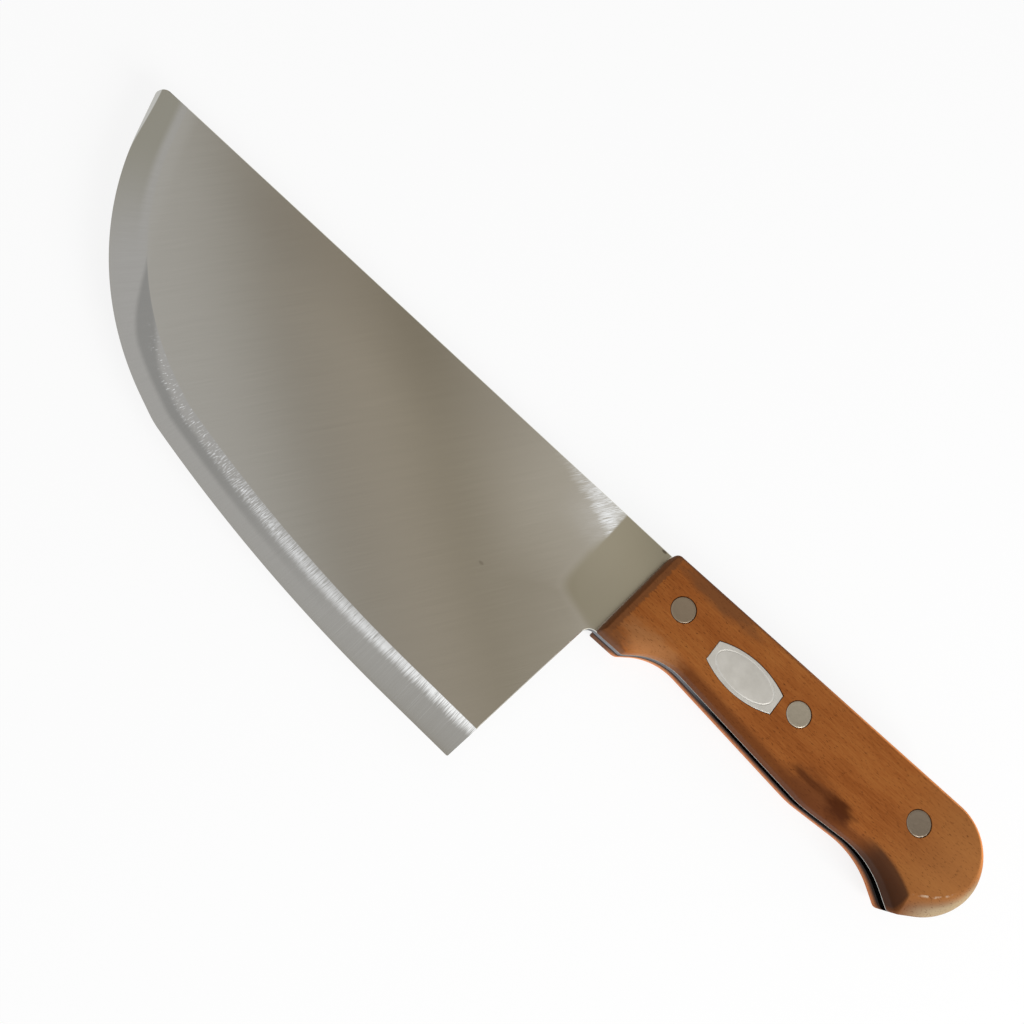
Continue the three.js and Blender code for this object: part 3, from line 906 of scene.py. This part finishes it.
def bevel_steel():
    """Hollow bevel, smooth towards the edge, with painted shade near the tip and along the belly.
    Under the shoulder a band of coarse scratches square to the edge carries a painted highlight,
    faint at the belly and bright towards the heel, and a painted highlight runs along the honed
    edge near the tip."""
    material, graph = new_material("bevel_steel")
    track = graph.track()
    depth, travelled, _ = graph.split(graph.vector("MULTIPLY", track, (UV_UNIT, UV_UNIT, 0)))
    fine = graph.noise(track, (8.0, 700.0, 1.0), 2.0, 0.6)
    tone = graph.ramp(fine, (0.3, BEVEL_DARK), (0.7, BEVEL_LIGHT))
    tone = graph.coat(tone, HEEL_TONE, graph.step(travelled, CREASE_END, HEEL_MARK), 0.35)
    hair = graph.step(graph.noise(track, (2.5, 480.0, 1.0), 2.0, 0.6), 0.55, 0.72)
    tone = graph.coat(tone, GLINT_AND_HAIRLINE_STEEL, hair, graph.step(travelled, BAND_FULL, HEEL_MARK), 0.12)
    tone = graph.coat(tone, TIP_SHADE_TONE, tip_shade(graph, depth, travelled))
    tone = graph.coat(tone, BELLY_SHADE_TONE, belly_shade(graph, depth, travelled))
    # Painted highlight of the coarse band below the shoulder
    tone = graph.coat(tone, GLINT_AND_HAIRLINE_STEEL, band_glint(graph, track, depth, travelled))
    # Painted highlight along the honed edge, narrowing away from the tip
    tapered = graph.fall(travelled, TIP_MARK, TIP_MARK + HONED_LENGTH)
    width = graph.times(tapered, HONED_WIDTH)
    honed_glint = graph.step(graph.math("SUBTRACT", width, depth), 0.0, 0.3)
    tone = graph.coat(tone, GLINT_AND_HAIRLINE_STEEL, honed_glint, 0.4)
    slanted = graph.fall(travelled, CREASE_END - 20, CREASE_END + 5)
    brushed(graph, tone, fine, fine, graph.blend(slanted, graph.scratch_tangent(), SLANT))
    return material


def tip_shade(graph, depth, travelled):
    """Painted shade: a darker, warmer bevel near the tip, up to the soft crease below the shoulder.
    """
    outer = graph.fall(depth, CREASE_DEPTH - 1.6, CREASE_DEPTH + 1)
    return graph.times(outer, graph.fall(travelled, TIP_MARK + 14, CREASE_END))


def belly_shade(graph, depth, travelled):
    """Painted shade in a crescent along the belly: it starts at the shoulder, turns down towards
    the edge and makes room for the painted highlight of the band above it."""
    turn = graph.step(travelled, CREASE_END - 10, BAND_FULL - 12)
    outer = graph.line(turn, BELLY_DEPTH - BEVEL_WIDTH - 1, BEVEL_WIDTH + 1)
    room = graph.step(travelled, BAND_START, BAND_FULL)
    inner = graph.line(room, BAND_DEPTH - BEVEL_WIDTH, BEVEL_WIDTH)
    over = graph.step(graph.math("SUBTRACT", depth, outer), -0.8, 1.0)
    under = graph.fall(graph.math("SUBTRACT", depth, inner), -0.6, 1.4)
    return graph.times(over, under, graph.fall(travelled, *BELLY_FADE), 0.62)


def band_glint(graph, track, depth, travelled):
    """Painted highlight on the coarse scratches square to the edge below the shoulder: sparse
    bright dots at the belly, a white ragged band at the heel."""
    dots = graph.noise(track, (65.0, 220.0, 1.0), 2.0, 0.6)
    lines = graph.noise(track, (14.0, 430.0, 1.0), 2.0, 0.6)
    ragged = graph.noise(track, (4.0, 300.0, 1.0), 3.0, 0.75)
    grown = graph.step(travelled, BAND_START, HEEL_MARK - 30)
    sparse = graph.rest(grown)
    heel = graph.step(travelled, HEEL_START, HEEL_MARK - 3)
    uneven = graph.line(heel, 3.0, 2.5)
    inner = graph.line(graph.math("SUBTRACT", ragged, 0.5), uneven, depth)
    inner = graph.line(heel, -BAND_NARROWING, inner)
    band = graph.step(inner, BAND_DEPTH - 1, BAND_DEPTH + 1.6)
    begun = graph.step(travelled, BAND_START, BAND_FULL - 4)
    mixed = graph.math("ADD", graph.times(dots, sparse), graph.times(lines, grown))
    dense = graph.step(graph.line(grown, 0.25, mixed), 0.59, 0.74)
    core = graph.times(heel, graph.step(depth, BAND_DEPTH + 1.8, BAND_DEPTH + 3.2), 0.62)
    dense = graph.math("MAXIMUM", dense, core)
    strength = graph.line(sparse, 0.3, graph.line(heel, 0.46, 0.52))
    shoulder = graph.times(graph.step(depth, BEVEL_WIDTH - 2.2, BEVEL_WIDTH), graph.rest(heel))
    return graph.times(band, begun, dense, strength, graph.line(shoulder, -0.6, 1.0))


def rolled(graph, place, tones, edge_tint):
    """Rolled steel: even satin with faint lengthwise lines between two tones."""
    lines = graph.noise(place, (0.15, 6.0, 6.0), 3.0, 0.6)
    cloud = graph.noise(place, (0.2, 0.2, 0.2), 2.0)
    graph.finish(
        Base_Color=graph.blend(graph.step(lines, 0.3, 0.7), *tones),
        Metallic=1.0,
        Roughness=graph.line(cloud, 0.06, 0.17),
        Specular_Tint=edge_tint,
        Normal=graph.bump(lines, 0.08, 0.01),
    )


SPINE_TONES = [(0.6, 0.58, 0.52, 1), (0.7, 0.68, 0.62, 1)]
SPINE_TINT = (1, 1, 1, 1)
TANG_CLEAN = [(0.55, 0.56, 0.59, 1), (0.75, 0.76, 0.8, 1)]
# Near-black tones painted as the shade in the gap between the scales
TANG_SHADED = [(0.02, 0.019, 0.018, 1), (0.05, 0.048, 0.046, 1)]
TANG_TINT = (0.2, 0.2, 0.2, 1)


def spine_steel():
    """Clean rim of the steel along the spine and round the butt."""
    material, graph = new_material("spine_steel")
    rolled(graph, graph.place(), SPINE_TONES, SPINE_TINT)
    return material


def tang_steel():
    """Lower edge of the tang: grey at the front, towards the butt painted near-black as the shade
    in the gap between the scales.
    """
    material, graph = new_material("tang_edge_steel")
    place = graph.place()
    x, _, _ = graph.split(place)
    tang_shade = graph.step(x, FRONT_X + 8, FRONT_X + 46)
    tones = [graph.blend(tang_shade, *pair) for pair in zip(TANG_CLEAN, TANG_SHADED)]
    rolled(graph, place, tones, TANG_TINT)
    return material


WOOD_MID = seen(146, 85, 40)
WOOD_LIGHT = seen(158, 98, 48)
WOOD_DARK = seen(132, 73, 32)
BUTT_LIGHT = seen(148, 100, 56)
# Painted rim light along the rounded upper edge
RIM_LIGHT = seen(250, 160, 90)
# Painted light on the wall of the back scale below the tang
FAR_RIM_LIGHT = seen(238, 152, 98)
STAIN = seen(110, 69, 41)
# Painted shade on the rounded lower edge, over somewhat darker wood
UNDERSIDE_SHADE = seen(96, 52, 26)
# Painted light on the rounded notch
NOTCH_LIGHT = seen(160, 112, 71)
# Painted shade over darker wood on the facet ahead of the beak
SHADED_FACET = seen(65, 41, 29)
# Painted shade in the joint under the tang
JOINT_SHADE = seen(22, 17, 14)
KNOT = seen(70, 33, 14)
CLOUD = seen(100, 56, 30)
# Painted cream sheen on the facet behind the beak
CREAM_SHEEN = seen(168, 151, 121)
# Painted glint along the crease behind the beak
PALE_EDGE_GLINT = seen(236, 224, 200)
PORE = seen(78, 40, 18)


class Stain(NamedTuple):
    """Soft oval mark on the wood, with its half length along the grain and half width."""

    x: float
    y: float
    length: float
    width: float
    colour: tuple
    share: float


STAINS = [
    # Painted light on the rounded notch
    Stain(FRONT_X + 11, -26, 14, 5.5, NOTCH_LIGHT, 0.6),
    Stain(FRONT_X + 2, -32, 7, 5, STAIN, 0.9),
    Stain(FRONT_X + 17, -2.6, 20, 3.6, STAIN, 0.85),
    Stain(FRONT_X + 70.5, -26, 14, 8, CLOUD, 0.85),
    Stain(FRONT_X + 66.5, -23, 9, 1.4, KNOT, 0.55),
    Stain(FRONT_X + 77.3, -23.4, 6, 4, KNOT, 0.9),
]
BUTT_FADE = (BACK_X - 42.2, BACK_X - 12.2)


def oiled_wood():
    """Orange-brown hardwood: fibres and pores along the handle, with stains, a knot, paler wood
    round the butt, and painted light and shade on the rounded edges."""
    material, graph = new_material("oiled_wood")
    place = graph.place()
    figure = graph.noise(place, (0.035, 0.16, 0.16), 3.0, 0.6)
    fibre = graph.noise(place, (0.22, 3.2, 3.2), 3.0, 0.6)
    grain = graph.math("ADD", graph.times(figure, 0.5), graph.times(fibre, 0.5))
    colour = graph.ramp(grain, (0.36, WOOD_DARK), (0.5, WOOD_MID), (0.66, WOOD_LIGHT))
    x, _, z = graph.split(place)
    drop = graph.math("SUBTRACT", FACE, graph.math("ABSOLUTE", z))
    colour = graph.coat(colour, BUTT_LIGHT, graph.step(x, *BUTT_FADE), 0.6)
    colour = underside(graph, colour, place, drop)
    for stain in STAINS:
        colour = graph.coat(colour, stain.colour, stain_share(graph, place, stain))
    colour = graph.coat(colour, STAIN, front_stain(graph, place), 0.85)
    colour = rims_light_and_shade(graph, colour, place, drop)
    pores = graph.step(graph.noise(place, (0.7, 4.6, 4.6), 1.0), 0.63, 0.7)
    graph.finish(
        Base_Color=graph.coat(colour, PORE, pores, 0.7),
        Roughness=graph.line(fibre, 0.2, 0.36),
        Specular_IOR_Level=0.02,
        Normal=graph.bump(graph.math("SUBTRACT", fibre, pores), 0.25, 0.05),
    )
    return material


# Ridge at the beak between the facet with painted shade and the facet with painted sheen
RIDGE_X = BEAK_X - 1.8


def underside(graph, colour, place, drop):
    """Rounded lower edge: painted shade over somewhat darker wood, deeper on the facet ahead of the
    beak, and behind the beak a painted cream sheen on the facet with a broken painted glint along
    its crease."""
    x, y, _ = graph.split(place)
    low = graph.fall(y, -UNDERSIDE_TOP, 4 - UNDERSIDE_TOP)
    handle_underside = graph.times(low, graph.step(x, FRONT_X + 10, FRONT_X + 24))
    # Painted shade on the lower rounding
    colour = graph.coat(colour, UNDERSIDE_SHADE, graph.step(drop, 0.0, 1.2), handle_underside, 0.75)
    facet = graph.step(drop, 0.02, 0.35)
    ahead = graph.between(x, RIDGE_X - 20, RIDGE_X - 11, RIDGE_X, RIDGE_X + 1.2)
    # Painted shade on the facet ahead of the beak
    colour = graph.coat(colour, SHADED_FACET, facet, ahead, graph.fall(y, -19.5, -18.5), 0.85)
    behind = graph.step(x, RIDGE_X, RIDGE_X + 10)
    # Painted sheen on the facet behind the beak
    sheen_band = graph.between(drop, 0.1, 1.3, 2.4, ROUND_DROP)
    colour = graph.coat(colour, CREAM_SHEEN, sheen_band, behind, graph.fall(y, -17, -7), 0.8)
    # Painted broken glint along the crease
    crease = graph.between(drop, 0.0, 0.02, 0.06, 0.18)
    broken = graph.step(graph.noise(place, (0.45, 0.45, 0.45), 2.0), 0.42, 0.6)
    return graph.coat(colour, PALE_EDGE_GLINT, crease, behind, graph.fall(y, -26, -17), broken)


def rims_light_and_shade(graph, colour, place, drop):
    """Upper edge with painted shade in front and a thin painted rim light behind and round the
    butt, and below the tang painted light on the wall of the back scale and painted shade in the
    joint."""
    x, y, z = graph.split(place)
    edge = graph.times(graph.step(drop, 0.04, 0.45), graph.step(y, -14, 3))
    rim_lit = graph.step(x, FRONT_X + 42, FRONT_X + 72)
    # Painted shade along the rounded upper edge in front
    colour = graph.coat(colour, STAIN, edge, graph.rest(rim_lit), 0.7)
    # Painted rim light behind and round the butt, fainter down the wall
    faded = graph.line(graph.fall(drop, 1.5, 2.6), 0.7, 0.3)
    colour = graph.coat(colour, RIM_LIGHT, edge, rim_lit, faded)
    below = graph.times(graph.fall(z, -0.5, 0.5), graph.fall(y, -20, -16))
    below = graph.times(below, graph.fall(x, BEAK_X - 2, BEAK_X + 2))
    # Painted light on the wall of the back scale
    wall = graph.times(below, graph.fall(z, ROUND_DROP - FACE, -HALF_STEEL - 1))
    colour = graph.coat(colour, FAR_RIM_LIGHT, wall, graph.step(x, FRONT_X + 3, FRONT_X + 8), 0.8)
    # Painted shade in the joint under the tang
    shaded_joint = graph.times(below, graph.step(z, -HALF_STEEL - 1.6, -HALF_STEEL - 0.6))
    return graph.coat(colour, JOINT_SHADE, shaded_joint, 0.9)


def stain_share(graph, place, stain):
    """Share of one stain, with a ragged border."""
    offset = graph.vector("SUBTRACT", place, (stain.x, stain.y, 0))
    spread = graph.vector("MULTIPLY", offset, (1 / stain.length, 1 / stain.width, 0))
    ragged = graph.noise(place, (0.25, 0.6, 0.6), 3.0, 0.6)
    reach = graph.line(ragged, 0.8, graph.vector("LENGTH", spread))
    return graph.times(graph.fall(reach, 0.7, 1.5), stain.share)


def front_stain(graph, place):
    """Dark soaked-in band along the front end with a ragged inner line."""
    ragged = graph.noise(place, (0.4, 0.9, 0.9), 5.0, 0.75)
    lean = FRONT_LEAN / FRONT_DEPTH
    behind = graph.math("SUBTRACT", graph.vector("DOT_PRODUCT", place, (1, -lean, 0)), FRONT_X)
    return graph.fall(graph.line(ragged, 3.6, behind), 3.9, 4.5)


RIVET_TONES = [(0.29, 0.23, 0.17, 1.0), (0.43, 0.385, 0.315, 1.0), (0.245, 0.2, 0.155, 1.0)]


def rivet_metal(name, tone):
    """Rivet sanded flush: soft grey with fine random scuffs."""
    material, graph = new_material(name)
    scuff = graph.noise(graph.place(), (1.2, 5.0, 1.0), 4.0, 0.6)
    low = tuple(0.9 * value for value in tone[:3]) + (1.0,)
    graph.finish(
        Base_Color=graph.ramp(scuff, (0.3, low), (0.7, tone)),
        Metallic=1.0,
        Roughness=graph.line(scuff, 0.2, 0.3),
        Normal=graph.bump(scuff, 0.1, 0.02),
    )
    return material


PLATE_DARK = (0.54, 0.52, 0.48, 1)
PLATE_LIGHT = (0.63, 0.61, 0.57, 1)


def plate_metal():
    """Pale satin plate, slightly cloudy."""
    material, graph = new_material("plate_metal")
    place = graph.place()
    cloud = graph.noise(place, (0.25, 0.25, 0.25), 3.0, 0.6)
    grit = graph.noise(place, (9.0, 9.0, 9.0), 2.0)
    graph.finish(
        Base_Color=graph.ramp(cloud, (0.3, PLATE_DARK), (0.7, PLATE_LIGHT)),
        Metallic=0.5,
        Roughness=graph.line(grit, 0.15, 0.32),
        Normal=graph.bump(grit, 0.1, 0.02),
    )
    return material


FLOOR_DARK = (0.9, 0.9, 0.9, 1)
FLOOR_LIGHT = (0.93, 0.93, 0.93, 1)
WHITE = (1, 1, 1, 1)
FLOOR_GLOW = 0.85


def pale_floor():
    """White studio floor that keeps a soft shadow."""
    material, graph = new_material("pale_floor")
    here = graph.add("TexCoord", {}).outputs["Object"]
    mottle = graph.noise(here, (3.0, 3.0, 3.0), 2.0)
    tone = graph.ramp(mottle, (0.3, FLOOR_DARK), (0.7, FLOOR_LIGHT))
    matt = graph.add("BsdfDiffuse", {"Color": tone})
    white = graph.add("Emission", {"Color": WHITE, "Strength": 1.0})
    rays = graph.add("LightPath", {}).outputs
    mirrored = graph.math("MAXIMUM", rays["Is Glossy Ray"], rays["Is Transmission Ray"])
    share = graph.times(graph.math("MAXIMUM", mirrored, rays["Is Camera Ray"]), FLOOR_GLOW)
    mixed = graph.add("MixShader", {0: share, 1: matt.outputs[0], 2: white.outputs[0]})
    graph.add("OutputMaterial", {0: mixed.outputs[0]})
    return material


# Pieces

def build_pieces():
    steels = [ground_steel(), bevel_steel(), spine_steel(), tang_steel()]
    make_piece("blade_steel", blade_mesh(), steels, "blade_steel", "blade")
    wood = oiled_wood()
    recess = on_badge(badge_outline(FIT)), BADGE_THICKNESS + FLUSH
    front = scale_mesh("front_scale_form", 1, [*rivet_holes(), recess])
    back = scale_mesh("back_scale_form", -1, rivet_holes())
    make_piece("front_scale_wood", front, [wood], "scale_wood", "front_scale")
    make_piece("back_scale_wood", back, [wood], "scale_wood", "back_scale")
    for number, (place, tone) in enumerate(zip(RIVET_PLACES, RIVET_TONES), 1):
        metal = rivet_metal(f"rivet_metal_{number}", tone)
        for name, face_side in (("front", 1), ("back", -1)):
            node = f"rivet_{name}_{number}"
            mesh = rivet_mesh(f"{node}_form", place, face_side)
            make_piece(f"{node}_metal", mesh, [metal], "rivet_metal", node)
    make_piece("badge_plate", badge_mesh(), [plate_metal()], "badge_metal", "badge")


# Studio

def build_floor():
    bm = bmesh.new()
    bmesh.ops.create_grid(bm, x_segments=4, y_segments=4, size=2.0)
    mesh = bpy.data.meshes.new("floor")
    bm.to_mesh(mesh)
    bm.free()
    mesh.materials.append(pale_floor())
    floor = bpy.data.objects.new("floor", mesh)
    bpy.context.scene.collection.objects.link(floor)


BLADE_SLANT = (0.516, 0.857, 0)
EVEN_LIGHT = (0.5, 0.5, 0.5, 1)

# Tones of the ceiling, by how far its direction leans along the blade's slant
BANDS = [
    (-0.35, (0.95, 0.97, 1.0)),
    (-0.19, (0.95, 0.97, 1.0)),
    (-0.04, (0.93, 0.94, 0.93)),
    (0.0, (0.8, 0.8, 0.77)),
    (0.035, (0.58, 0.55, 0.49)),
    (0.1, (0.76, 0.7, 0.6)),
    (0.135, (0.7, 0.64, 0.53)),
    (0.16, (0.43, 0.38, 0.27)),
    (0.185, (0.63, 0.58, 0.48)),
    (0.22, (0.87, 0.82, 0.72)),
    (0.27, (1.0, 0.97, 0.9)),
    (0.33, (0.95, 0.9, 0.77)),
    (0.36, (0.66, 0.63, 0.56)),
    (0.4, (0.44, 0.42, 0.38)),
    (0.45, (0.3, 0.28, 0.25)),
    (0.62, (0.3, 0.28, 0.25)),
    (0.75, (0.95, 0.94, 0.9)),
]


def build_world():
    """Soft studio round the object: white to the camera, even to the wood, and to the metal a
    ceiling in wide bands that run across the blade."""
    world = bpy.data.worlds.new("studio")
    world.use_nodes = True
    bpy.context.scene.world = world
    graph = Graph(world.node_tree)
    towards = graph.add("TexCoord", {}).outputs["Generated"]
    slant = graph.vector("DOT_PRODUCT", towards, BLADE_SLANT)
    first, last = BANDS[0][0], BANDS[-1][0]
    reach = last - first
    spread = graph.math("DIVIDE", graph.math("SUBTRACT", slant, first), reach)
    bands = graph.ramp(spread, *(((at - first) / reach, (*tone, 1)) for at, tone in BANDS))
    rays = graph.add("LightPath", {}).outputs
    light = graph.blend(rays["Is Glossy Ray"], EVEN_LIGHT, bands)
    light = graph.blend(rays["Is Camera Ray"], light, WHITE)
    ground = graph.add("Background", {"Color": light, "Strength": 1.0})
    graph.add("OutputWorld", {0: ground.outputs[0]})


LAMP_PLACE = Vector((1.2, -0.27, 0.6))
LAMP_TARGET = Vector((0.1, 0.02, 0.0))
LAMP_SIZE = 0.6
LAMP_WATTS = 19


def build_lamp():
    """Soft lamp beyond the butt."""
    data = bpy.data.lights.new("key", "AREA")
    data.size = LAMP_SIZE
    data.energy = LAMP_WATTS
    lamp = bpy.data.objects.new("key", data)
    lamp.location = LAMP_PLACE
    lamp.rotation_euler = (LAMP_TARGET - LAMP_PLACE).to_track_quat("-Z", "Y").to_euler()
    bpy.context.scene.collection.objects.link(lamp)


CAMERA_PLACE = Vector((170.073, -100.7125, 269.1966))
CAMERA_RIGHT = Vector((0.7301, 0.66312, 0.16503))
CAMERA_BACK = Vector((0.03682, -0.27933, 0.95949))
SENSOR = 36
FOCAL_PIXELS = 1000
PICTURE_PIXELS = 1024


def build_camera():
    """Camera of the photographed view, set by its place and the directions of its axes."""
    data = bpy.data.cameras.new("camera")
    data.sensor_width = SENSOR
    data.lens = SENSOR * FOCAL_PIXELS / PICTURE_PIXELS
    camera = bpy.data.objects.new("camera", data)
    back = CAMERA_BACK.normalized()
    up = back.cross(CAMERA_RIGHT).normalized()
    turn = Matrix((up.cross(back), up, back)).transposed()
    camera.matrix_world = Matrix.Translation((CAMERA_PLACE + TO_FRAME) * MM) @ turn.to_4x4()
    bpy.context.scene.collection.objects.link(camera)
    bpy.context.scene.camera = camera


build_pieces()
build_floor()
build_world()
build_lamp()
build_camera()
bpy.context.scene.view_settings.view_transform = "Standard"
